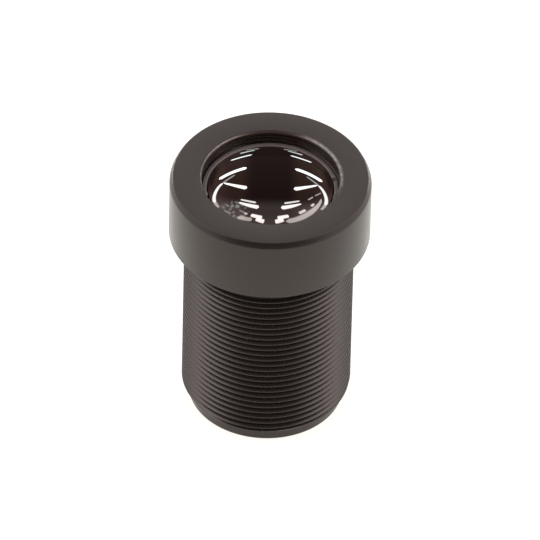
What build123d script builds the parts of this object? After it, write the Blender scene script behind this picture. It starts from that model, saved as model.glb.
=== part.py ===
"""A small board camera lens: a threaded black barrel with its glass, spacers and rings.

The lens stands on its rear end, with the rear face at z = 0, the axis on Z and the front up.
The glass stack is loaded from the front onto a lip near the rear, and one ring screwed into
the front bore holds it. Heights add up from the rear face, so a thicker piece lengthens the
barrel. All sizes are in millimetres.
"""

import os
from math import radians, sqrt, tan

from build123d import *

# Barrel, outside
head_diameter = 14.2
head_height = 5.0
head_front_chamfer = 0.2
head_front_chamfer_height = 0.42
head_back_chamfer = 0.08
thread_diameter = 12.0
thread_pitch = 0.5
thread_flank_angle = 30.0
thread_lead_chamfer = 0.25
thread_start_angle = 256.0
relief_step = 0.4
relief_height = 0.85
pilot_step = 0.5
pilot_height = 1.0
pilot_chamfer = 0.1

# Barrel, inside
front_bore_diameter = 9.7
front_bore_chamfer = 0.1
stack_bore_diameter = 8.0
lip_width = 0.8
filter_bore_diameter = 8.8

# Fits and broken edges
glass_clearance = 0.03
ring_clearance = 0.03
shoulder_gap = 0.15
cement_gap = 0.01
seat_margin = 0.05
glass_bevel = 0.1
ring_bevel = 0.06

# Filter and its ring, in the rear end
filter_ring_recess = 0.3
filter_ring_height = 0.5
filter_ring_wall = 0.87
filter_thickness = 0.5
filter_air_gap = 0.4

# Rear element: both faces bulge
rear_element_edge = 1.2
rear_element_rear_curve = 8.5
rear_element_front_curve = 6.5

# Spacer between the rear element and the cemented pair
rear_air_gap = 0.25
rear_spacer_wall = 0.62

# Cemented pair: a crown that bulges both ways under a flint hollowed both ways
crown_edge = 0.9
crown_rear_curve = 7.0
cement_curve = 6.5
flint_edge = 2.6
flint_front_curve = 8.0

# Aperture stop between two spacers
stop_rear_spacer_height = 0.6
stop_air_gap = 0.35
stop_spacer_wall = 0.87
stop_thickness = 0.15
stop_diameter = 3.4

# Third element: both faces bulge
third_element_edge = 1.6
third_element_rear_curve = 9.0
third_element_front_curve = 7.0

# Second spacer and baffle, then the second element: bulging front, hollow rear
second_spacer_height = 0.6
second_spacer_wall = 0.57
baffle_thickness = 0.05
second_baffle_width = 1.07
second_element_edge = 1.5
second_element_rear_curve = 5.0
second_element_front_curve = 20.0

# Front spacer: a flange in the front bore and a nose in the stack bore
front_spacer_height = 3.136
front_spacer_nose_height = 0.6
front_spacer_nose_wall = 0.47
front_spacer_top_wall = 0.82

# Front element: bulging front, hollow rear, and a stepped rim that stands up inside the ring
front_element_edge = 1.0
front_element_step = 0.37
front_element_rear_curve = 9.0
front_element_front_curve = 40.0

# Front retaining ring, with two slots for a pin spanner
front_ring_height = 0.45
front_ring_wall = 0.34
front_ring_bore_chamfer = 0.08
front_ring_recess = 1.0
spanner_slot_width = 0.6
spanner_slot_depth = 0.2
spanner_slot_angle = 14.0


def sag(curve, radius):
    """How far a ball of this curve falls away at this radius from its pole."""
    return curve - sqrt(curve**2 - radius**2)


# Radii that follow from the sizes above
head_radius = head_diameter / 2
crest_radius = thread_diameter / 2
thread_depth = thread_pitch / (2 * tan(radians(thread_flank_angle))) * 5 / 8
root_radius = crest_radius - thread_depth
pilot_radius = crest_radius - pilot_step
relief_radius = crest_radius - relief_step
front_bore_radius = front_bore_diameter / 2
stack_bore_radius = stack_bore_diameter / 2
lip_bore_radius = stack_bore_radius - lip_width
filter_bore_radius = filter_bore_diameter / 2
filter_radius = filter_bore_radius - glass_clearance
filter_ring_radius = filter_bore_radius - ring_clearance
filter_ring_bore_radius = filter_ring_radius - filter_ring_wall
stack_radius = stack_bore_radius - glass_clearance
rear_spacer_bore_radius = stack_radius - rear_spacer_wall
stop_spacer_bore_radius = stack_radius - stop_spacer_wall
second_spacer_bore_radius = stack_radius - second_spacer_wall
second_baffle_bore_radius = stack_radius - second_baffle_width
nose_bore_radius = stack_radius - front_spacer_nose_wall
front_glass_radius = front_bore_radius - glass_clearance
flange_bore_radius = front_glass_radius - front_spacer_top_wall
front_ring_radius = front_bore_radius - ring_clearance
front_ring_bore_radius = front_ring_radius - front_ring_wall

# Each polished face stops just inside the piece that bears on its land
rear_element_rear_clear = lip_bore_radius - seat_margin
rear_element_front_clear = rear_spacer_bore_radius - seat_margin
crown_rear_clear = rear_spacer_bore_radius - seat_margin
flint_front_clear = stop_spacer_bore_radius - seat_margin
third_element_rear_clear = stop_spacer_bore_radius - seat_margin
third_element_front_clear = second_spacer_bore_radius - seat_margin
second_element_rear_clear = second_spacer_bore_radius - seat_margin
second_element_front_clear = nose_bore_radius - seat_margin
front_element_rear_clear = flange_bore_radius - seat_margin
front_element_front_clear = front_ring_bore_radius - seat_margin

# How far each polished face stands proud of its land, or dips under it where it is hollow
rear_element_rear_sag = sag(rear_element_rear_curve, rear_element_rear_clear)
rear_element_front_sag = sag(rear_element_front_curve, rear_element_front_clear)
crown_rear_sag = sag(crown_rear_curve, crown_rear_clear)
crown_front_sag = sag(cement_curve, stack_radius)
flint_rear_sag = sag(cement_curve + cement_gap, stack_radius)
flint_front_sag = sag(flint_front_curve, flint_front_clear)
third_element_rear_sag = sag(third_element_rear_curve, third_element_rear_clear)
third_element_front_sag = sag(third_element_front_curve, third_element_front_clear)
second_element_rear_sag = sag(second_element_rear_curve, second_element_rear_clear)
second_element_front_sag = sag(second_element_front_curve, second_element_front_clear)
front_element_rear_sag = sag(front_element_rear_curve, front_element_rear_clear)
front_element_front_sag = sag(front_element_front_curve, front_element_front_clear)

# Heights above the rear face, each resting on the one before
filter_ring_top = filter_ring_recess + filter_ring_height
filter_top = filter_ring_top + filter_thickness
lip_top = filter_top + filter_air_gap + rear_element_rear_sag
rear_element_top = lip_top + rear_element_edge
rear_spacer_top = rear_element_top + rear_element_front_sag + rear_air_gap + crown_rear_sag
crown_top = rear_spacer_top + crown_edge
flint_top = crown_top + flint_edge
stop_seat = flint_top + stop_rear_spacer_height
stop_top = stop_seat + stop_thickness
third_element_seat = stop_top + stop_air_gap + third_element_rear_sag
third_element_top = third_element_seat + third_element_edge
second_spacer_top = third_element_top + second_spacer_height
second_element_seat = second_spacer_top + baffle_thickness
second_element_top = second_element_seat + second_element_edge
bore_shoulder = second_element_top + front_spacer_nose_height
front_spacer_top = second_element_top + front_spacer_height
front_element_seat = front_spacer_top + baffle_thickness
front_element_top = front_element_seat + front_element_edge
front_ring_top = front_element_top + front_ring_height
front_face = front_ring_top + front_ring_recess
head_back = front_face - head_height
thread_top = head_back - relief_height


def turned(*outline):
    """A solid turned about Z from (radius, height) corners, which run round its section."""
    section = make_face(Polyline(*[(r, 0, z) for r, z in outline], close=True))
    return revolve(section, Axis.Z)


def ring(outer, inner, bottom, top, bevel=0.0):
    """A washer or spacer with its outer corners broken."""
    if not bevel:
        return turned((inner, bottom), (outer, bottom), (outer, top), (inner, top))
    return turned(
        (inner, bottom),
        (outer - bevel, bottom),
        (outer, bottom + bevel),
        (outer, top - bevel),
        (outer - bevel, top),
        (inner, top),
    )


def polished_face(land, rise, clear):
    """The arc of a polished face, whose pole stands this far above the land that it ends at."""
    curve = (clear**2 + rise**2) / (2 * abs(rise))
    fall = sag(curve, clear / 2) * (1 if rise > 0 else -1)
    pole = land + rise
    return ThreePointArc((0, 0, pole), (clear / 2, 0, pole - fall), (clear, 0, land))


def element(radius, bottom, top, rear_rise, rear_clear, front_rise, front_clear, step=0.0):
    """A lens element: two polished faces, flat ground lands and a bevelled rim.

    With a step, the front face stands this far up on a shoulder as wide as the face.
    """
    rear_corner = [(radius, 0, bottom)]
    front_corner = [(radius, 0, top)]
    if rear_clear < radius:
        rear_corner = [
            (rear_clear, 0, bottom),
            (radius - glass_bevel, 0, bottom),
            (radius, 0, bottom + glass_bevel),
        ]
    if front_clear < radius:
        front_corner = [
            (radius, 0, top - glass_bevel),
            (radius - glass_bevel, 0, top),
            (front_clear, 0, top),
        ]
    if step:
        front_corner.append((front_clear, 0, top + step))
    section = make_face(
        [
            polished_face(bottom, rear_rise, rear_clear),
            *Polyline(*rear_corner, *front_corner).edges(),
            polished_face(top + step, front_rise, front_clear),
            Line((0, 0, top + step + front_rise), (0, 0, bottom + rear_rise)),
        ]
    )
    return revolve(section, Axis.Z)


def barrel_blank():
    """The turned barrel, with its thread stretch still at the root radius."""
    return turned(
        (filter_bore_radius, 0),
        (pilot_radius - pilot_chamfer, 0),
        (pilot_radius, pilot_chamfer),
        (pilot_radius, pilot_height),
        (root_radius, pilot_height),
        (root_radius, thread_top),
        (relief_radius, thread_top),
        (relief_radius, head_back),
        (head_radius - head_back_chamfer, head_back),
        (head_radius, head_back + head_back_chamfer),
        (head_radius, front_face - head_front_chamfer_height),
        (head_radius - head_front_chamfer, front_face),
        (front_bore_radius + front_bore_chamfer, front_face),
        (front_bore_radius, front_face - front_bore_chamfer),
        (front_bore_radius, bore_shoulder),
        (stack_bore_radius, bore_shoulder),
        (stack_bore_radius, lip_top),
        (lip_bore_radius, lip_top),
        (lip_bore_radius, filter_top),
        (filter_bore_radius, filter_top),
    )


def thread_ridge():
    """The right-hand ridge of the thread, cut back by a lead chamfer at each end."""
    foot_radius = root_radius - thread_depth / 4
    clear_radius = crest_radius + thread_depth / 2
    half_crest = thread_pitch / 16
    half_foot = half_crest + (crest_radius - foot_radius) * tan(radians(thread_flank_angle))
    start = pilot_height - thread_pitch
    path = Helix(
        pitch=thread_pitch,
        height=thread_top + thread_pitch - start,
        radius=root_radius,
        center=(0, 0, start),
    )
    tooth = make_face(
        Polyline(
            (foot_radius, 0, start - half_foot),
            (crest_radius, 0, start - half_crest),
            (crest_radius, 0, start + half_crest),
            (foot_radius, 0, start + half_foot),
            close=True,
        )
    )
    ridge = sweep(tooth, path=path, is_frenet=True).rotate(Axis.Z, thread_start_angle)
    lead_radius = crest_radius - thread_lead_chamfer
    lead_rise = clear_radius - lead_radius
    envelope = turned(
        (foot_radius - thread_depth / 4, pilot_height),
        (lead_radius, pilot_height),
        (clear_radius, pilot_height + lead_rise),
        (clear_radius, thread_top - lead_rise),
        (lead_radius, thread_top),
        (foot_radius - thread_depth / 4, thread_top),
    )
    return ridge & envelope


def barrel():
    """Head and threaded body, turned in one piece."""
    return barrel_blank() + thread_ridge()


def front_retaining_ring():
    """The ring that holds the stack, chamfered inside and slotted for a pin spanner."""
    body = turned(
        (front_ring_bore_radius, front_element_top),
        (front_ring_radius, front_element_top),
        (front_ring_radius, front_ring_top - ring_bevel),
        (front_ring_radius - ring_bevel, front_ring_top),
        (front_ring_bore_radius + front_ring_bore_chamfer, front_ring_top),
        (front_ring_bore_radius, front_ring_top - front_ring_bore_chamfer),
    )
    slots = Box(3 * front_ring_radius, spanner_slot_width, 2 * spanner_slot_depth)
    return body - slots.moved(Location((0, 0, front_ring_top), (0, 0, spanner_slot_angle)))


def front_spacer():
    """A stepped spacer with a tapered bore: its flange carries the front element."""
    flange_bottom = bore_shoulder + shoulder_gap
    return turned(
        (nose_bore_radius, second_element_top),
        (stack_radius, second_element_top),
        (stack_radius, flange_bottom),
        (front_glass_radius, flange_bottom),
        (front_glass_radius, front_spacer_top - ring_bevel),
        (front_glass_radius - ring_bevel, front_spacer_top),
        (flange_bore_radius, front_spacer_top),
    )


def front_element():
    """The large front meniscus, seen in the opening."""
    return element(
        front_glass_radius,
        front_element_seat,
        front_element_top,
        front_element_rear_sag,
        front_element_rear_clear,
        front_element_front_sag,
        front_element_front_clear,
        front_element_step,
    )


def second_element():
    """A nearly flat-fronted element, hollow behind."""
    return element(
        stack_radius,
        second_element_seat,
        second_element_top,
        second_element_rear_sag,
        second_element_rear_clear,
        second_element_front_sag,
        second_element_front_clear,
    )


def third_element():
    """The thick positive element in front of the stop."""
    return element(
        stack_radius,
        third_element_seat,
        third_element_top,
        -third_element_rear_sag,
        third_element_rear_clear,
        third_element_front_sag,
        third_element_front_clear,
    )


def doublet_flint_element():
    """The hollow front half of the cemented pair."""
    rear_edge = crown_top + crown_front_sag + cement_gap - flint_rear_sag
    return element(
        stack_radius,
        rear_edge,
        flint_top,
        flint_rear_sag,
        stack_radius,
        -flint_front_sag,
        flint_front_clear,
    )


def doublet_crown_element():
    """The bulging rear half of the cemented pair."""
    return element(
        stack_radius,
        rear_spacer_top,
        crown_top,
        -crown_rear_sag,
        crown_rear_clear,
        crown_front_sag,
        stack_radius,
    )


def rear_element():
    """The last positive element, seated on the barrel's lip."""
    return element(
        stack_radius,
        lip_top,
        rear_element_top,
        -rear_element_rear_sag,
        rear_element_rear_clear,
        rear_element_front_sag,
        rear_element_front_clear,
    )


def stack_ring(bore_radius, bottom, top, bevel=ring_bevel):
    """A spacer, baffle or stop that slides in the stack bore."""
    return ring(stack_radius, bore_radius, bottom, top, bevel)


pieces = {
    "barrel": barrel(),
    "front_retaining_ring": front_retaining_ring(),
    "front_element": front_element(),
    "front_baffle": ring(front_glass_radius, flange_bore_radius, front_spacer_top, front_element_seat),
    "front_spacer": front_spacer(),
    "second_element": second_element(),
    "second_baffle": stack_ring(second_baffle_bore_radius, second_spacer_top, second_element_seat, 0),
    "second_spacer": stack_ring(second_spacer_bore_radius, third_element_top, second_spacer_top),
    "third_element": third_element(),
    "stop_front_spacer": stack_ring(stop_spacer_bore_radius, stop_top, third_element_seat),
    "aperture_stop": stack_ring(stop_diameter / 2, stop_seat, stop_top, 0),
    "stop_rear_spacer": stack_ring(stop_spacer_bore_radius, flint_top, stop_seat),
    "doublet_flint_element": doublet_flint_element(),
    "doublet_crown_element": doublet_crown_element(),
    "rear_spacer": stack_ring(rear_spacer_bore_radius, rear_element_top, rear_spacer_top),
    "rear_element": rear_element(),
    "ir_cut_filter": ring(filter_radius, 0, filter_ring_top, filter_top, glass_bevel),
    "filter_retaining_ring": ring(
        filter_ring_radius, filter_ring_bore_radius, filter_ring_recess, filter_ring_top, ring_bevel
    ),
}

os.makedirs("parts", exist_ok=True)
for name, shape in pieces.items():
    export_step(shape, f"parts/{name}.step")
print(f"{len(pieces)} pieces, overall height {front_face:.3f} mm")
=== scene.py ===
# %% [markdown]
# A board camera lens, dressed for its portrait.
#
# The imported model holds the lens's solids at their real sizes, in metres, standing on the
# floor with the optical axis on Z. This lesson keeps those solids as the frame and gives the
# parts that show a finer skin: a barrel with a true screw thread, the ring in its mouth and the
# front glass. Each is a surface worked out from a formula with numpy.

# %% Load the frame
from functools import partial
from math import cos, pi, radians, sin, sqrt

import bpy
import numpy as np
from mathutils import Matrix, Vector


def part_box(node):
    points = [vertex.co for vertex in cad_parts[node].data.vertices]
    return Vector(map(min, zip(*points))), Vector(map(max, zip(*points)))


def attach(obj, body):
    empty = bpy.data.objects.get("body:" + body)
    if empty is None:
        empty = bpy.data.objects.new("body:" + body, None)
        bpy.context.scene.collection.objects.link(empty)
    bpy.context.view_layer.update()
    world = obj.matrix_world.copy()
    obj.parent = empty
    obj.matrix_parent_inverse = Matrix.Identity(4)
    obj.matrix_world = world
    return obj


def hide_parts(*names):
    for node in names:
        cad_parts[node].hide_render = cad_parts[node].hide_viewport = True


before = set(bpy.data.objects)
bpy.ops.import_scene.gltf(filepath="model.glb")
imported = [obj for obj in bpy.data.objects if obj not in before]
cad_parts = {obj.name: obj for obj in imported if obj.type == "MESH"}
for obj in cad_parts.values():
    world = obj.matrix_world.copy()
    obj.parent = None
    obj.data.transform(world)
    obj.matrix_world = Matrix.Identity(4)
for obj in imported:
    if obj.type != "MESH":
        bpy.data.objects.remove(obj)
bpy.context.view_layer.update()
mm = 0.001
front_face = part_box("barrel")[1].z
print(f"{len(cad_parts)} solids, {front_face / mm:.2f} mm tall")

# %% [markdown]
# The camera. The photograph looks down on the lens at 42.3 degrees from well away, through a
# long lens, so the sides of the barrel look almost parallel. The picture is also turned a little
# clockwise, about a degree and a half. A real long lens is a narrow angle of view, which Blender
# takes as a focal length in millimetres on a 36 mm wide sensor.

# %% Camera
elevation = radians(42.3)
roll = radians(1.416)
aim = Vector((0.107, 0, 11.23)) * mm
distance = 0.7738
focal_length = 730.7
sensor_width = 36.0
toward_camera = Vector((0, -cos(elevation), sin(elevation)))
picture_right = Vector((1, 0, 0))
picture_up = Vector((0, sin(elevation), cos(elevation)))
camera_right = cos(roll) * picture_right + sin(roll) * picture_up
camera_up = cos(roll) * picture_up - sin(roll) * picture_right

camera_data = bpy.data.cameras.new("portrait_camera")
camera_data.sensor_width = sensor_width
camera_data.lens = focal_length
camera_data.clip_start = 0.01
camera_data.clip_end = 50.0
camera = bpy.data.objects.new("portrait_camera", camera_data)
bpy.context.scene.collection.objects.link(camera)
turn = Matrix((camera_right, camera_up, toward_camera)).transposed()
camera.matrix_world = Matrix.Translation(aim + distance * toward_camera) @ turn.to_4x4()
bpy.context.scene.camera = camera
print(f"camera {distance:.2f} m away, {focal_length:.0f} mm lens")

# %% [markdown]
# Three helpers make every surface here. The first rounds the corners of a section, because no
# machined edge is perfectly sharp and it is the small rounding that catches the light. The
# second turns arrays of radius and height into a mesh: one row of points for each place along the
# section, one column for each angle. The third welds the seam and the poles and shades the result.

# %% Helpers for turned surfaces
def rounded(corners, radius, steps):
    """Rounds each corner of a closed section of (r, z) points with an arc of this radius.

    The radius is one number for all corners or an array with one for each. The arc touches both
    sides at a distance radius / tan(half the corner's angle), never more than 0.45 of the
    shorter side, and is drawn as a curve that is tangent to both: the point at u is
    (1-u)^2 A + 2u(1-u) corner + u^2 B.
    """
    p = np.array(corners, float)
    before = np.roll(p, 1, axis=0) - p
    after = np.roll(p, -1, axis=0) - p
    length_before = np.linalg.norm(before, axis=1)
    length_after = np.linalg.norm(after, axis=1)
    cosine = (before * after).sum(1) / (length_before * length_after)
    half = np.arccos(np.clip(cosine, -0.999, 0.999)) / 2
    reach = np.minimum(radius / np.tan(half), 0.45 * np.minimum(length_before, length_after))
    start = p + before / length_before[:, None] * reach[:, None]
    end = p + after / length_after[:, None] * reach[:, None]
    u = np.linspace(0, 1, steps)[None, :, None]
    arcs = (1 - u) ** 2 * start[:, None] + 2 * u * (1 - u) * p[:, None] + u**2 * end[:, None]
    return arcs.reshape(-1, 2)


def grid_mesh(name, radius, height, angle):
    """A closed mesh from arrays of radius and height, a row for each section point.

    Row j, column i stands at (r cos a, r sin a, z). The rows close on themselves, so the section
    is a loop, and the last column repeats the first at a full turn, where the two are welded.
    """
    a = np.broadcast_to(angle, radius.shape)
    points = np.stack([radius * np.cos(a), radius * np.sin(a), height], axis=-1)
    rows, columns = radius.shape
    j, i = np.meshgrid(np.arange(rows), np.arange(columns - 1), indexing="ij")
    next_j = (j + 1) % rows
    faces = np.stack(
        [j * columns + i, j * columns + i + 1, next_j * columns + i + 1, next_j * columns + i], axis=-1
    )
    mesh = bpy.data.meshes.new(name)
    mesh.from_pydata(points.reshape(-1, 3).tolist(), [], faces.reshape(-1, 4).tolist())
    return mesh


def finished(mesh, sharp_angle=32.0):
    """Welds doubled points, turns the faces outward, and shades smooth up to a sharp angle."""
    import bmesh

    work = bmesh.new()
    work.from_mesh(mesh)
    bmesh.ops.remove_doubles(work, verts=work.verts, dist=1e-7)
    bmesh.ops.dissolve_degenerate(work, edges=work.edges, dist=1e-8)
    bmesh.ops.recalc_face_normals(work, faces=work.faces)
    work.to_mesh(mesh)
    work.free()
    mesh.shade_smooth()
    mesh.set_sharp_from_angle(angle=radians(sharp_angle))
    piece = bpy.data.objects.new(mesh.name, mesh)
    bpy.context.scene.collection.objects.link(piece)
    open_edges = len(mesh.edges) * 2 - sum(p.loop_total for p in mesh.polygons)
    print(f"{mesh.name}: {len(mesh.polygons)} faces, {open_edges} open edges")
    return piece


def turned(name, section, columns):
    """A section of (r, z) points carried round the Z axis."""
    angle = np.linspace(0, 2 * pi, columns + 1)[None, :]
    ones = np.ones_like(angle)
    return grid_mesh(name, section[:, :1] * ones, section[:, 1:] * ones, angle)


# %% [markdown]
# The barrel is one turned piece on the real lens: a plain head, a body with a fine M12 thread
# and a short plain pilot that guides it into its holder. It could be a lathe profile with the
# thread as a bump texture, but at this size every turn of the thread shows. So the thread's
# rows climb one pitch in each full turn, as the tool did, and the radius follows the tooth.

# %% Barrel sizes
thread_pitch = 0.5 * mm
crest_radius = 6.0 * mm
thread_depth = 0.2706 * mm
root_radius = crest_radius - thread_depth
pilot_radius = 5.5 * mm
pilot_height = 1.0 * mm
pilot_bevel = 0.1 * mm
head_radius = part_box("barrel")[1].x
head_height = 5.0 * mm
head_back = front_face - head_height
head_back_bevel = 0.08 * mm
head_bevel = 0.2 * mm
head_bevel_height = 0.42 * mm
relief_height = 0.85 * mm
relief_radius = 5.6 * mm
thread_top = head_back - relief_height
bore_radius = 4.85 * mm
bore_bevel = 0.1 * mm
spacer_nose = 0.6 * mm
bore_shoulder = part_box("second_element")[1].z + spacer_nose
stack_radius = 4.0 * mm
lip_radius = 3.2 * mm
rear_glass_edge = 1.2 * mm
lip_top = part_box("rear_spacer")[0].z - rear_glass_edge
filter_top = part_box("ir_cut_filter")[1].z
filter_bore_radius = 4.4 * mm
print(f"thread from {pilot_height / mm:.1f} to {thread_top / mm:.1f} mm")

# %% Thread tooth
# One pitch of the thread, from the middle of a root to the middle of the next. The crest is
# flat with its corners eased, and each flank leans 30 degrees from square.
tooth_height = np.array([0.0, 0.0625, 0.14, 0.205, 0.23, 0.27, 0.295, 0.36, 0.4375]) * mm
tooth_radius = np.array([0.0, 0.0, 0.1342, 0.2468, 0.2706, 0.2706, 0.2468, 0.1342, 0.0]) * mm
thread_start = radians(256.0)
lead_start = 0.02 * mm


def screw_rows(bottom, top, pitch, heights, radii, base, angle, phase):
    """Rows of a screw thread between two heights, as arrays of radius and height.

    A row that starts at s stands at s + pitch (angle - phase) / 2 pi, so rows start from well
    below the stretch. Their radius is base plus the tooth's, and never past a 45 degree lead at
    either end. A row that has run out of the stretch lies on its end at the base radius.
    """
    turns = int((top - bottom) / pitch) + 4
    start = bottom - 2.5 * pitch + np.arange(turns)[:, None] * pitch + heights[None, :]
    rows = start.reshape(-1, 1)
    tooth = np.tile(radii, turns).reshape(-1, 1)
    height = rows + pitch * (angle - phase) / (2 * pi)
    to_end = np.minimum(height - bottom, top - height)
    step = np.where(to_end < 0, 0.0, np.minimum(tooth, np.maximum(to_end, 0.0) + lead_start))
    return base + step, np.clip(height, bottom, top)


# %% Barrel section
# The section runs up the outside and down the bore. The plain stretches are rounded, and the
# outer thread and the fine, shallow thread of the bore are let in between them.
edge = 0.05 * mm
soft_edge = 0.28 * mm
arc_steps = 4
below_thread = [(filter_bore_radius, 0), (pilot_radius - pilot_bevel, 0), (pilot_radius, pilot_bevel)]
above_thread = [
    (relief_radius, thread_top),
    (relief_radius, head_back),
    (head_radius - head_back_bevel, head_back),
    (head_radius, head_back + head_back_bevel),
    (head_radius, front_face - head_bevel_height),
    (head_radius - head_bevel, front_face),
    (bore_radius + bore_bevel, front_face),
    (bore_radius, front_face - bore_bevel),
]
mouth_land = 0.25 * mm
bore_thread_top = front_face - mouth_land
ring_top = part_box("front_retaining_ring")[1].z
bore_pitch = 0.3 * mm
groove_start = 0.02 * mm
bore_tooth_height = np.array([0.0, 0.07, 0.15, 0.23]) * mm
bore_tooth_radius = np.array([0.0, 0.02, 0.03, 0.02]) * mm
bore_section = [
    (bore_radius, bore_shoulder),
    (stack_radius, bore_shoulder),
    (stack_radius, lip_top),
    (lip_radius, lip_top),
    (lip_radius, filter_top),
    (filter_bore_radius, filter_top),
]
columns = 288
angle = np.linspace(0, 2 * pi, columns + 1)[None, :]


def plain_rows(section):
    """Rows of a plain turned stretch, the same at every angle."""
    return section[:, :1] + 0 * angle, section[:, 1:] + 0 * angle


whole = below_thread + [(pilot_radius, pilot_height), (root_radius, pilot_height)]
below_count = len(whole)
whole += above_thread + bore_section
# The corner under the head's front bevel is rounded more than the others, so the bevel shows as
# a thin dark line with a soft lower edge.
rounding = np.full(len(whole), edge)
rounding[whole.index((head_radius, front_face - head_bevel_height))] = soft_edge
smooth = rounded(whole, rounding, arc_steps).reshape(-1, arc_steps, 2)
lower = smooth[:below_count].reshape(-1, 2)
upper = smooth[below_count:].reshape(-1, 2)
body_thread = screw_rows(
    pilot_height, thread_top, thread_pitch, tooth_height, tooth_radius, root_radius, angle, thread_start
)
bore_tooth = (bore_tooth_height, bore_tooth_radius)
bore_thread = screw_rows(ring_top, bore_thread_top, bore_pitch, *bore_tooth, bore_radius, angle, 0)
middle = upper[: len(above_thread) * arc_steps]
inside = upper[len(above_thread) * arc_steps :]
stretches = [
    plain_rows(lower),
    body_thread,
    plain_rows(middle),
    (bore_thread[0][::-1], bore_thread[1][::-1]),
    plain_rows(inside),
]
radius = np.concatenate([s[0] for s in stretches])
height = np.concatenate([s[1] for s in stretches])
barrel_mesh = grid_mesh("barrel_skin", radius, height, angle)
# The lands between the bore's grooves are marked, and the finish makes them paler: a painted highlight that
# shows the bore thread as light lines.
painted_land_highlight = (radius < bore_radius + groove_start) & (height > ring_top)
land_highlight_share = barrel_mesh.attributes.new(name="painted_land_highlight", type="FLOAT", domain="POINT")
land_highlight_share.data.foreach_set("value", painted_land_highlight.reshape(-1).astype(float).tolist())
barrel_skin = finished(barrel_mesh)
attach(barrel_skin, "root")
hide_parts("barrel")

# %% [markdown]
# The retaining ring screws into the front bore and holds the whole stack of glass. Only its
# top edge and inner wall show, as a paler band round the glass. Two slots across it take the
# tips of a pin spanner. The slots are a dip in the height of the ring's top rows, with walls
# that lean by a small share of the slot's half width. Their edges carry a painted glint.

# %% Front retaining ring
ring_low, ring_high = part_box("front_retaining_ring")
ring_radius = ring_high.x
ring_wall = 0.34 * mm
ring_bore = ring_radius - ring_wall
outer_bevel = 0.06 * mm
inner_bevel = 0.08 * mm
ring_rounding = 0.03 * mm
slot_half_width = 0.3 * mm
slot_depth = 0.2 * mm
slot_angle = radians(14.0)
ring_section = rounded(
    [
        (ring_bore, ring_low.z),
        (ring_radius, ring_low.z),
        (ring_radius, ring_high.z - outer_bevel),
        (ring_radius - outer_bevel, ring_high.z),
        (ring_bore + inner_bevel, ring_high.z),
        (ring_bore, ring_high.z - inner_bevel),
    ],
    ring_rounding,
    arc_steps,
)
slot_edge = np.arcsin(slot_half_width / ring_radius)
lean = 0.03
glint_reach = 0.12
ring_columns = 256
slot_steps = np.array([-1 - lean, -1 + lean, 1 - lean, 1 + lean]) * slot_edge
slot_angles = np.concatenate([slot_angle + slot_steps, pi + slot_angle + slot_steps])
even_angles = np.linspace(0, 2 * pi, ring_columns + 1)
ring_angle = np.unique(np.concatenate([even_angles, slot_angles]))[None, :]
from_slot = np.abs((ring_angle - slot_angle + pi / 2) % pi - pi / 2)
in_slot = np.clip(((1 + lean) * slot_edge - from_slot) / (2 * lean * slot_edge), 0, 1)
ring_r = ring_section[:, :1] + 0 * ring_angle
ring_z = np.minimum(ring_section[:, 1:] + 0 * ring_angle, ring_high.z - slot_depth * in_slot)
ring_mesh = grid_mesh("front_ring_skin", ring_r, ring_z, ring_angle)
# A pale colour along the slot edges is a painted glint, where the edge catches the light.
at_slot_edge = np.clip(1 - np.abs(from_slot / slot_edge - 1) / glint_reach, 0, 1) + 0 * ring_r
slot_edge_glint = ring_mesh.attributes.new(name="slot_edge_glint", type="FLOAT", domain="POINT")
slot_edge_glint.data.foreach_set("value", at_slot_edge.reshape(-1).tolist())
ring_skin = finished(ring_mesh)
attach(ring_skin, "root")
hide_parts("front_retaining_ring")

# %% [markdown]
# The front glass is a meniscus: both faces bulge toward the viewer, the rear one more steeply.
# Its faces are parts of balls. The section walks from the axis out along the front face, round
# the stepped, ground rim and back in along the rear face, finely enough that reflections run
# smoothly.

# %% Front glass
glass_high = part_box("front_element")[1]
glass_radius = glass_high.x
glass_land = ring_low.z
glass_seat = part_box("front_baffle")[1].z
glass_bevel = 0.1 * mm
ring_margin = 0.05 * mm
rear_seat = 0.87 * mm
curve_steps = 60
glass_columns = 192
front_clear = ring_bore - ring_margin
rear_clear = glass_radius - rear_seat
front_pole = glass_high.z
glass_step = 0.37 * mm
front_rise = front_pole - glass_land - glass_step
front_ball = (front_clear**2 + front_rise**2) / (2 * front_rise)
rear_ball = 9.0 * mm
rear_pole = glass_seat + rear_ball - sqrt(rear_ball**2 - rear_clear**2)
front_r = np.linspace(0, front_clear, curve_steps)
rear_r = np.linspace(rear_clear, 0, curve_steps)
front_z = front_pole - front_ball + np.sqrt(front_ball**2 - front_r**2)
rear_z = rear_pole - rear_ball + np.sqrt(rear_ball**2 - rear_r**2)
rim = [
    (front_clear, glass_land),
    (glass_radius - glass_bevel, glass_land),
    (glass_radius, glass_land - glass_bevel),
    (glass_radius, glass_seat + glass_bevel),
    (glass_radius - glass_bevel, glass_seat),
]
front_line = np.stack([front_r, front_z], 1)
rear_line = np.stack([rear_r, rear_z], 1)
glass_section = np.concatenate([front_line, np.array(rim), rear_line])
front_glass = finished(turned("front_glass", glass_section, glass_columns), sharp_angle=15)
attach(front_glass, "root")
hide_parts("front_element")
print(f"front face is part of a ball of {front_ball / mm:.1f} mm radius")

# %% [markdown]
# Finishes. Black anodised aluminium is dark, slightly brown, and takes a soft sheen from its
# sealed oxide. Three small effects are shared as node groups: a fine grain that breaks up the
# sheen, wear that lightens the edges and also paints a highlight on them where they catch the
# light, and specks of dust.

# %% Shared shader groups
def new_group(name, inputs, outputs):
    """A shader group with these named (kind, name, value) inputs and (kind, name) outputs."""
    group = bpy.data.node_groups.new(name, "ShaderNodeTree")
    for kind, label, value in inputs:
        socket = group.interface.new_socket(label, in_out="INPUT", socket_type=kind)
        if value is not None:
            socket.default_value = value
    for kind, label in outputs:
        group.interface.new_socket(label, in_out="OUTPUT", socket_type=kind)
    return group, group.nodes.new("NodeGroupInput"), group.nodes.new("NodeGroupOutput")


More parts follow.
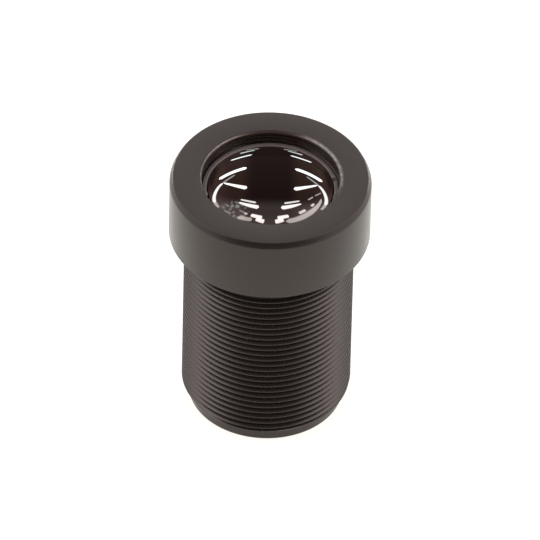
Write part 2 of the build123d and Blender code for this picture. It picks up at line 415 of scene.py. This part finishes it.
def give(tree, socket, value):
    """Links a socket to the value where that is another socket, and sets it to it otherwise."""
    if isinstance(value, bpy.types.NodeSocket):
        tree.links.new(value, socket)
    else:
        socket.default_value = value


def node(tree, kind, settings=None, **inputs):
    """A node with these settings and socket values."""
    made = tree.nodes.new(kind)
    for key, value in (settings or {}).items():
        setattr(made, key, value)
    for key, value in inputs.items():
        give(tree, made.inputs[key.replace("_", " ")], value)
    return made


def math_node(tree, operation, *values, clamp=False):
    """The result of a math node on these values."""
    made = node(tree, "ShaderNodeMath", {"operation": operation, "use_clamp": clamp})
    for socket, value in zip(made.inputs, values):
        give(tree, socket, value)
    return made.outputs[0]


def ramp_node(tree, value, start, end, low, high):
    """A smooth step from low to high while the value goes from start to end."""
    made = node(tree, "ShaderNodeMapRange", {"interpolation_type": "SMOOTHSTEP"}, Value=value)
    for label, number in zip(("From Min", "From Max", "To Min", "To Max"), (start, end, low, high)):
        give(tree, made.inputs[label], number)
    return made.outputs["Result"]


def covered(tree, share, under, over):
    """The colour under, covered by the colour over with this share."""
    made = node(tree, "ShaderNodeMix", {"data_type": "RGBA"}, Factor=share)
    give(tree, made.inputs[6], under)
    give(tree, made.inputs[7], over)
    return made.outputs[2]


grain_group, grain_in, grain_out = new_group(
    "fine_grain",
    [("NodeSocketFloat", "Scale", 9000.0)],
    [("NodeSocketFloat", "Fine"), ("NodeSocketFloat", "Cloud")],
)
place = node(grain_group, "ShaderNodeTexCoord")
fine = node(
    grain_group,
    "ShaderNodeTexNoise",
    Vector=place.outputs["Object"],
    Scale=grain_in.outputs["Scale"],
    Detail=3.0,
    Roughness=0.6,
)
cloud = node(grain_group, "ShaderNodeTexNoise", Vector=place.outputs["Object"], Scale=420.0, Detail=3.0)
grain_group.links.new(fine.outputs["Fac"], grain_out.inputs["Fine"])
grain_group.links.new(cloud.outputs["Fac"], grain_out.inputs["Cloud"])

dust_group, dust_in, dust_out = new_group(
    "dust_specks",
    [
        ("NodeSocketFloat", "Scale", 700.0),
        ("NodeSocketFloat", "Size", 0.07),
        ("NodeSocketFloat", "Amount", 0.25),
    ],
    [("NodeSocketFloat", "Mask")],
)
place = node(dust_group, "ShaderNodeTexCoord")
cells = node(
    dust_group, "ShaderNodeTexVoronoi", Vector=place.outputs["Object"], Scale=dust_in.outputs["Scale"]
)
# A speck sits in the middle of a cell, where the cell's own red value is below the amount.
near = math_node(dust_group, "LESS_THAN", cells.outputs["Distance"], dust_in.outputs["Size"])
draw = node(dust_group, "ShaderNodeSeparateColor", Color=cells.outputs["Color"])
drawn = math_node(dust_group, "LESS_THAN", draw.outputs["Red"], dust_in.outputs["Amount"])
dust_group.links.new(math_node(dust_group, "MULTIPLY", near, drawn), dust_out.inputs["Mask"])

wear_highlight_group, wear_highlight_in, wear_highlight_out = new_group(
    "edge_wear_and_highlight",
    [
        ("NodeSocketFloat", "Radius", 0.005),
        ("NodeSocketFloat", "Height", 0.02),
        ("NodeSocketFloat", "Left Width", 0.0001),
        ("NodeSocketFloat", "Right Width", 0.0001),
    ],
    [("NodeSocketFloat", "Mask")],
)
wear_highlight_math = partial(math_node, wear_highlight_group)
wear_highlight_ramp = partial(ramp_node, wear_highlight_group)
# The mask is one close to the edge, which is a circle of this radius at this height, and falls
# to zero a little past the width. It fades out toward the back and the front of the circle and
# is broken by grain. It is partly wear and partly a painted highlight: it is kept to the sides
# and the back half, where the edge catches the light, and its width differs left and right.
place = node(wear_highlight_group, "ShaderNodeTexCoord")
spot = node(wear_highlight_group, "ShaderNodeSeparateXYZ", Vector=place.outputs["Object"])
x_squared = wear_highlight_math("MULTIPLY", spot.outputs["X"], spot.outputs["X"])
y_squared = wear_highlight_math("MULTIPLY", spot.outputs["Y"], spot.outputs["Y"])
radius_here = wear_highlight_math("SQRT", wear_highlight_math("ADD", x_squared, y_squared))
from_radius = wear_highlight_math("SUBTRACT", radius_here, wear_highlight_in.outputs["Radius"])
from_height = wear_highlight_math("SUBTRACT", spot.outputs["Z"], wear_highlight_in.outputs["Height"])
squares = [wear_highlight_math("MULTIPLY", side, side) for side in (from_radius, from_height)]
from_edge = wear_highlight_math("SQRT", wear_highlight_math("ADD", *squares))
width_here = wear_highlight_ramp(
    spot.outputs["X"], -1.5 * mm, 1.5 * mm, wear_highlight_in.outputs["Left Width"], wear_highlight_in.outputs["Right Width"]
)
closeness = wear_highlight_math("SUBTRACT", 1.25, wear_highlight_math("DIVIDE", from_edge, width_here), clamp=True)
sideways = wear_highlight_ramp(wear_highlight_math("ABSOLUTE", spot.outputs["X"]), 1.8 * mm, 3.4 * mm, 0.0, 1.0)
backward = wear_highlight_ramp(spot.outputs["Y"], -2.0 * mm, 0.5 * mm, 0.0, 1.0)
rubbed = node(wear_highlight_group, "ShaderNodeTexNoise", Vector=place.outputs["Object"], Scale=2600.0, Detail=3.0)
uneven = wear_highlight_ramp(rubbed.outputs["Fac"], 0.38, 0.6, 0.45, 1.0)
where = wear_highlight_math("MULTIPLY", sideways, backward)
mask = wear_highlight_math("MULTIPLY", wear_highlight_math("MULTIPLY", closeness, where), uneven)
wear_highlight_group.links.new(mask, wear_highlight_out.inputs["Mask"])

# %% Materials
speck_colour = (0.10, 0.095, 0.09, 1)
# The bare colour lightens the edges as worn metal and as a painted highlight.
bare_and_highlight_colour = (0.27, 0.25, 0.24, 1)
black_sheen = (1.0, 0.85, 0.82, 1)


def material(name):
    """An empty node material and its Principled shader."""
    made = bpy.data.materials.new(name)
    made.use_nodes = True
    return made, made.node_tree, made.node_tree.nodes["Principled BSDF"]


def anodised(name, dark, pale, roughness, dust, worn_highlit_edges=()):
    """Black anodised metal, its grain between two shades and with a share of dust specks.

    Each worn edge is partly wear and partly a painted highlight. It is a radius, a height, and the widths of
    the wear and highlight on the left and the right.
    """
    made, tree, shader = material(name)
    grain = node(tree, "ShaderNodeGroup", {"node_tree": grain_group})
    specks = node(tree, "ShaderNodeGroup", {"node_tree": dust_group})
    specks.inputs["Amount"].default_value = dust
    colour = covered(tree, grain.outputs["Cloud"], (*dark, 1), (*pale, 1))
    colour = covered(tree, specks.outputs["Mask"], colour, speck_colour)
    # Each edge mixes in the paler colour, partly wear and partly a painted highlight.
    for edge_sizes in worn_highlit_edges:
        worn_highlight = node(tree, "ShaderNodeGroup", {"node_tree": wear_highlight_group})
        for label, size in zip(("Radius", "Height", "Left Width", "Right Width"), edge_sizes):
            worn_highlight.inputs[label].default_value = size
        colour = covered(tree, worn_highlight.outputs["Mask"], colour, bare_and_highlight_colour)
    tree.links.new(colour, shader.inputs["Base Color"])
    uneven = node(tree, "ShaderNodeMapRange", Value=grain.outputs["Fine"])
    uneven.inputs["To Min"].default_value = roughness - 0.05
    uneven.inputs["To Max"].default_value = roughness + 0.05
    tree.links.new(uneven.outputs["Result"], shader.inputs["Roughness"])
    bump = node(tree, "ShaderNodeBump", Strength=0.25, Distance=0.008 * mm, Height=grain.outputs["Fine"])
    tree.links.new(bump.outputs["Normal"], shader.inputs["Normal"])
    shader.inputs["IOR"].default_value = 1.5
    shader.inputs["Specular Tint"].default_value = black_sheen
    return made


def paler_where(finish, attribute, colour):
    """Mixes this colour over the material's own by the share that a mesh attribute gives."""
    tree = finish.node_tree
    base = tree.nodes["Principled BSDF"].inputs["Base Color"]
    share = node(tree, "ShaderNodeAttribute", {"attribute_name": attribute})
    paler = covered(tree, share.outputs["Fac"], base.links[0].from_socket, (*colour, 1))
    tree.links.new(paler, base)


# The mouth and bevel edges are lightened by wear and by a painted highlight, wider on the right of the
# mouth.
mouth_edge = (bore_radius + bore_bevel / 2, front_face - 0.03 * mm, 0.06 * mm, 0.20 * mm)
bevel_edge = (head_radius - head_bevel, front_face, 0.06 * mm, 0.06 * mm)
worn_highlit_edges = [mouth_edge, bevel_edge]
barrel_black = anodised("barrel_black", (0.009, 0.006, 0.005), (0.014, 0.010, 0.009), 0.26, 0.03, worn_highlit_edges)
# The bore's lands get a painted highlight, a paler colour that shows the thread as light lines.
paler_where(barrel_black, "painted_land_highlight", (0.050, 0.029, 0.024))
ring_black = anodised("ring_black", (0.09, 0.075, 0.07), (0.115, 0.092, 0.088), 0.50, 0.02)
# The slot edges get a painted glint, a pale colour close to each edge.
paler_where(ring_black, "slot_edge_glint", (0.62, 0.57, 0.55))
inside_black = anodised("inside_black", (0.006, 0.005, 0.005), (0.010, 0.008, 0.008), 0.6, 0.0)


def coated_glass(name, tint, sheen):
    """Lens glass whose anti-reflection coating weakens and tints the mirror image."""
    made, tree, shader = material(name)
    shader.inputs["Base Color"].default_value = (*tint, 1)
    shader.inputs["Roughness"].default_value = 0.0
    shader.inputs["IOR"].default_value = 1.6
    shader.inputs["Transmission Weight"].default_value = 1.0
    shader.inputs["Specular Tint"].default_value = (*sheen, 1)
    return made


# The front glass has a black body, painted shade that stands in for the dark inside of the lens and hides
# the pieces behind it.
front_coat_painted_shade = coated_glass("front_coat_painted_shade", (0.0, 0.0, 0.0), (0.20, 0.08, 0.06))
inner_coat = coated_glass("inner_coat", (0.85, 0.80, 0.78), (0.50, 0.40, 0.36))
filter_coat = coated_glass("filter_coat", (0.75, 0.90, 0.95), (0.60, 0.35, 0.40))

barrel_skin.data.materials.append(barrel_black)
ring_skin.data.materials.append(ring_black)
front_glass.data.materials.append(front_coat_painted_shade)
finish_of = {
    "front_spacer": inside_black,
    "front_baffle": inside_black,
    "second_baffle": inside_black,
    "second_spacer": inside_black,
    "stop_front_spacer": inside_black,
    "aperture_stop": inside_black,
    "stop_rear_spacer": inside_black,
    "rear_spacer": inside_black,
    "filter_retaining_ring": ring_black,
    "second_element": inner_coat,
    "third_element": inner_coat,
    "doublet_flint_element": inner_coat,
    "doublet_crown_element": inner_coat,
    "rear_element": inner_coat,
    "ir_cut_filter": filter_coat,
}
for name, finish in finish_of.items():
    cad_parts[name].data.materials.clear()
    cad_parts[name].data.materials.append(finish)
print(f"{len(finish_of)} inner pieces finished")

# %% [markdown]
# The stage. The lens stands on a plain white floor that glows a little, as a light table does,
# so hardly a shadow shows. The metal mirrors the room, so the room is what shapes it: even
# behind the lens for the top face, dim above and in front, and brighter in a band at either
# side, which makes the thread's crests flash at the sides and go dark in the middle.

# %% Floor
floor_mesh = bpy.data.meshes.new("floor")
half_floor = 3.0
corner_signs = [(-1, -1), (1, -1), (1, 1), (-1, 1)]
floor_corners = [(half_floor * x, half_floor * y, 0) for x, y in corner_signs]
floor_mesh.from_pydata(floor_corners, [], [(0, 1, 2, 3)])
floor = bpy.data.objects.new("floor", floor_mesh)
bpy.context.scene.collection.objects.link(floor)
floor_white, _, floor_shader = material("floor_white")
floor_shader.inputs["Base Color"].default_value = (0.40, 0.40, 0.40, 1)
floor_shader.inputs["Roughness"].default_value = 0.9
floor_shader.inputs["Emission Color"].default_value = (1.0, 0.985, 0.90, 1)
floor_shader.inputs["Emission Strength"].default_value = 0.80
floor_mesh.materials.append(floor_white)

# %% Room
room = bpy.data.worlds.new("room")
bpy.context.scene.world = room
room.use_nodes = True
tree = room.node_tree
background = tree.nodes["Background"]
background.inputs["Color"].default_value = (1.0, 0.985, 0.97, 1)
direction = node(tree, "ShaderNodeTexCoord")
parts = node(tree, "ShaderNodeSeparateXYZ", Vector=direction.outputs["Generated"])
room_math = partial(math_node, tree)
room_ramp = partial(ramp_node, tree)
sideways = room_math("ABSOLUTE", parts.outputs["X"])
backward = parts.outputs["Y"]
upward = parts.outputs["Z"]
behind = 1.22
at_sides = 2.8
side_band = room_math(
    "MULTIPLY", room_ramp(sideways, 0.38, 0.66, 0.0, at_sides), room_ramp(upward, 0.32, 0.55, 0.0, 1.0)
)
side_band = room_math("MULTIPLY", side_band, room_ramp(backward, 0.12, 0.50, 1.0, 0.3))
glow = room_math("ADD", behind, side_band)
# Above 48 degrees the room grows dim, and it is almost dark from 74 degrees up.
dim_from, dark_from = sin(radians(48)), sin(radians(74))
glow = room_math("MULTIPLY", glow, room_ramp(upward, dim_from, dark_from, 1.0, 0.03))
glow = room_math("MULTIPLY", glow, room_ramp(backward, -0.95, -0.25, 0.10, 1.0))
seen = node(tree, "ShaderNodeLightPath")
# The polished glass mirrors a plainer room, dim and even, with two soft patches overhead.
overhead = room_math(
    "MULTIPLY", room_ramp(upward, 0.86, 0.97, 0.0, 3.5), room_ramp(sideways, 0.04, 0.16, 0.0, 1.0)
)
in_glass = room_math("ADD", 0.33, overhead)


def chosen(ray, usual, special):
    """The special strength for this kind of ray, and the usual one for the others."""
    made = node(tree, "ShaderNodeMix", {"data_type": "FLOAT"})
    for value, place in ((seen.outputs[ray], 0), (usual, 2), (special, 3)):
        give(tree, made.inputs[place], value)
    return made.outputs[0]


glow = chosen("Is Singular Ray", glow, in_glass)
glow = chosen("Is Camera Ray", glow, 1.0)
tree.links.new(glow, background.inputs["Strength"])

bpy.context.scene.view_settings.view_transform = "Standard"
bpy.context.scene.view_settings.look = "None"

# %% [markdown]
# The lamps. What makes the glass look like glass is the row of lamps that it mirrors. Each
# streak is planned where it should lie on the front glass, in millimetres right of the axis and
# toward the back. The camera's line of sight is mirrored there, off the ball that the glass is
# part of, and the lamp is hung where that line goes. Most lamps have a twin on the left.

# %% Lamp helpers
glassware = bpy.data.collections.new("glassware")
glassware.objects.link(front_glass)
lamp_light, lamp_tree, lamp_shader = material("lamp_light")
lamp_tree.nodes.remove(lamp_shader)
shine = node(lamp_tree, "ShaderNodeAttribute", {"attribute_name": "glow"})
light = node(lamp_tree, "ShaderNodeEmission", Color=shine.outputs["Color"], Strength=1.0)
clear = node(lamp_tree, "ShaderNodeBsdfTransparent")
both = node(lamp_tree, "ShaderNodeAddShader")
lamp_tree.links.new(light.outputs[0], both.inputs[0])
lamp_tree.links.new(clear.outputs[0], both.inputs[1])
lamp_tree.links.new(both.outputs[0], lamp_tree.nodes["Material Output"].inputs["Surface"])


def mirrored_place(right, back, distance):
    """Where the camera's line of sight ends up, this far past its mirror point on the glass.

    With n the unit normal of the ball at the place and d the line of sight, the mirrored
    direction is d - 2 (d . n) n.
    """
    up = np.sqrt(front_ball**2 - right**2 - back**2)
    normal = np.stack([right, back, up], axis=-1) / front_ball
    place = np.stack([right, back, up + front_pole - front_ball], axis=-1)
    sight = place - np.array(camera.matrix_world.translation)
    sight /= np.linalg.norm(sight, axis=-1, keepdims=True)
    mirrored = sight - 2 * (sight * normal).sum(-1, keepdims=True) * normal
    return place + mirrored * distance


def lamp(name, points, colour):
    """A clear sheet on a grid of points that glows with this colour at each, for the glass alone."""
    rows, columns = points.shape[:2]
    j, i = np.meshgrid(np.arange(rows - 1), np.arange(columns - 1), indexing="ij")
    k = (j * columns + i).reshape(-1)
    faces = np.stack([k, k + 1, k + columns + 1, k + columns], 1)
    mesh = bpy.data.meshes.new(name)
    mesh.from_pydata(points.reshape(-1, 3).tolist(), [], faces.tolist())
    glow = mesh.attributes.new(name="glow", type="FLOAT_COLOR", domain="POINT")
    opaque = np.ones((rows, columns, 1))
    glow.data.foreach_set("color", np.concatenate([colour, opaque], -1).reshape(-1).tolist())
    mesh.materials.append(lamp_light)
    sheet = bpy.data.objects.new(name, mesh)
    bpy.context.scene.collection.objects.link(sheet)
    sheet.visible_camera = False
    sheet.visible_shadow = False
    sheet.light_linking.receiver_collection = glassware
    return sheet


def streak(name, side, line, widths, strength, distance):
    """A tube lamp that is mirrored as a line through these places, as wide as given at each.

    The line is the polynomial through its places, spread evenly over u from 0 to 1. It narrows
    to three tenths over the last sixteenth at each end. The sheet is a quarter wider than given:
    its glow is full over the middle three fifths and falls to nothing at the edges.
    """
    line = np.array(line, float) * mm
    u = np.linspace(0, 1, 41)
    knots = np.linspace(0, 1, len(line))
    right, back = (np.polyval(np.polyfit(knots, line[:, k], len(line) - 1), u) for k in (0, 1))
    slope_right, slope_back = np.gradient(right), np.gradient(back)
    length = np.hypot(slope_right, slope_back)
    ends = np.clip(np.minimum(u, 1 - u) * 16, 0.3, 1)
    half = np.interp(u, np.linspace(0, 1, len(widths)), widths) * mm / 2 * ends
    across = np.array([-1.25, -0.75, 0.75, 1.25])
    grid_right = right[:, None] - (slope_back / length * half)[:, None] * across
    grid_back = back[:, None] + (slope_right / length * half)[:, None] * across
    glow = np.broadcast_to(np.abs(across) < 1, grid_right.shape)[..., None] * np.array(warm) * strength
    return lamp(name, mirrored_place(side * grid_right, grid_back, distance), glow)


# %% [markdown]
# The streaks, as places in millimetres right of the axis and toward the back, then widths in
# millimetres and a strength. Most lamps hang half a metre away. The three pairs nearest the back
# rim are mirrored off glass that faces the bore wall, so they hang just inside that wall.

# %% Streaks
far_away = 0.5
just_inside = 0.3 * mm
warm = (0.62, 0.80, 0.82)
bright = 80.0
streaks = {
    "upper_main": (((1.70, 1.98), (2.72, 1.48), (3.62, 0.78)), (0.25, 0.22), bright),
    "middle": (((1.65, -0.20), (2.42, 0.04), (3.30, 0.38)), (0.36, 0.26, 0.12), bright),
    "bow_tail": (((2.50, 1.22), (3.05, 0.70), (3.34, 0.36)), (0.10, 0.14), 18.0),
    "bow": (((3.34, 0.36), (3.70, -0.18), (3.92, -0.94), (3.85, -1.60)), (0.12, 0.20, 0.25), 65.0),
    "bow_end": (((3.86, -1.55), (3.75, -1.85), (3.58, -2.10)), (0.25, 0.20), 25.0),
    "lower_thin": (((0.98, -1.70), (1.54, -1.55), (2.07, -1.38)), (0.17, 0.13), 60.0),
    "lower_main": (((0.78, -2.16), (1.47, -1.97), (2.20, -1.65)), (0.36, 0.30, 0.10), bright),
    "front_upper": (((0.54, -3.17), (0.94, -3.05), (1.33, -2.92)), (0.34, 0.28), bright),
    "front_lower": (((0.38, -3.52), (0.66, -3.44), (0.96, -3.28)), (0.38, 0.34), bright),
}
back_streaks = {
    "top_faint": (((0.85, 4.20), (1.35, 4.10), (1.80, 4.00)), (0.09, 0.08), 11.0),
    "top_thin": (((1.15, 4.00), (1.70, 3.82), (2.20, 3.62)), (0.06, 0.10), 28.0),
    "upper_thin": (((1.35, 3.48), (2.10, 3.18), (2.85, 2.83)), (0.10, 0.11), 48.0),
}
right_streaks = {
    "dash_upper": (((2.65, -1.21), (2.83, -1.05), (2.99, -0.87)), (0.12, 0.12), 25.0),
    "thread_thin": (((3.13, -0.75), (3.34, -0.58), (3.55, -0.39)), (0.10, 0.08), 25.0),
    "dash_side": (((2.87, -1.82), (2.98, -1.70), (3.07, -1.55)), (0.20, 0.16), 45.0),
    "dash_low": (((2.04, -2.60), (2.27, -2.43), (2.49, -2.23)), (0.24, 0.22), 50.0),
    "crescent": (((1.14, -3.45), (2.32, -2.93), (3.22, -1.95), (3.56, -1.00)), (0.45, 0.42, 0.10), 32.0),
}
left_streaks = {
    "low_rim": (((1.24, -3.34), (1.73, -3.27), (2.22, -3.09)), (0.34, 0.36), 30.0),
    "fleck": (((1.58, -2.84), (1.67, -2.79), (1.78, -2.72)), (0.18, 0.18), 40.0),
}
lit = []
for group, sides, distance in (
    (streaks, (1, -1), far_away),
    (right_streaks, (1,), far_away),
    (left_streaks, (-1,), far_away),
    (back_streaks, (1, -1), just_inside),
):
    for name, (line, widths, strength) in group.items():
        for side in sides:
            label = "right" if side > 0 else "left"
            apart = distance * (1 + 0.01 * len(lit))
            lit.append(streak(f"{name}_{label}", side, line, widths, strength, apart))
print(f"{len(lit)} streak lamps")

# %% [markdown]
# Between the streaks the glass isn't even black: the coatings give it a faint brown, and toward
# the viewer it mirrors the paler room above. One wide veil of light behind the streak lamps is
# mirrored as these soft shades, and a band just inside the bore wall carries them to the rim.

# %% Veil and band
def eased(value, start, end):
    """A smooth step from 0 to 1, 3t^2 - 2t^3 with t the share of the way from start to end."""
    t = np.clip((value - start) / (end - start), 0, 1)
    return t * t * (3 - 2 * t)


def shade(right, back):
    """The colour of the soft light that is mirrored at these places, in mm on the glass."""
    outward = np.abs(right)
    front = -back
    rim = 1 - eased(np.hypot(right, back), 3.85, 4.2) * eased(back, -0.8, 0.8)
    brown = (0.42 * eased(outward, 1.1, 2.2) + 0.58 * eased(outward, 2.6, 4.1)) * rim
    grey = 0.6 * eased(front, 1.1, 2.3) + 0.4 * eased(front, 2.6, 3.8)
    grey += 0.8 * eased(front + 0.6 * outward, 2.6, 4.6) * eased(outward, 1.4, 2.6)
    swirl = np.sin(9 * right + 4 * back + 1.3 * np.sin(7 * back))
    swirl = swirl * np.sin(8 * back - 3 * right + 1.7 * np.sin(6 * right))
    mottle = eased(swirl, 0.0, 0.5) * eased(1.2 - np.hypot(right + 2.5, back + 2.5), 0, 0.6)
    tints = (
        (1 + 0 * grey, (0.12, 0.0, 0.0)),
        (brown, (1.2, 0.86, 0.70)),
        (grey, (2.35, 2.65, 2.75)),
        (mottle, (8.0, 11.6, 12.2)),
    )
    return sum(share[..., None] * np.array(tint) for share, tint in tints)


veil_edge = 4.36
veil_distance = 1.5 * far_away
band_strength = 0.8
veil_reach = np.linspace(0, veil_edge, 90)[:, None]
veil_turn = np.linspace(0, 2 * pi, 181)[None, :]
veil_right = veil_reach * np.cos(veil_turn)
veil_back = veil_reach * np.sin(veil_turn)
veil_points = mirrored_place(veil_right * mm, veil_back * mm, veil_distance)
lamp("veil", veil_points, shade(veil_right, veil_back))
band_radius = bore_radius - 0.04 * mm
band_turn = np.linspace(0, pi, 91)[None, :]
band_height = np.array([ring_high.z + 0.02 * mm, front_face - 0.11 * mm])[:, None]
band_x = band_radius * np.cos(band_turn) + 0 * band_height
band_y = band_radius * np.sin(band_turn) + 0 * band_height
band_points = np.stack([band_x, band_y, band_height + 0 * band_turn], axis=-1)
band_shade = shade(band_x / mm * 0.9, 0 * band_y + 2.0) + np.array((0.28, 0.28, 0.27))
lamp("band", band_points, band_strength * band_shade)
print(f"veil of {veil_points.shape[0] * veil_points.shape[1]} points")
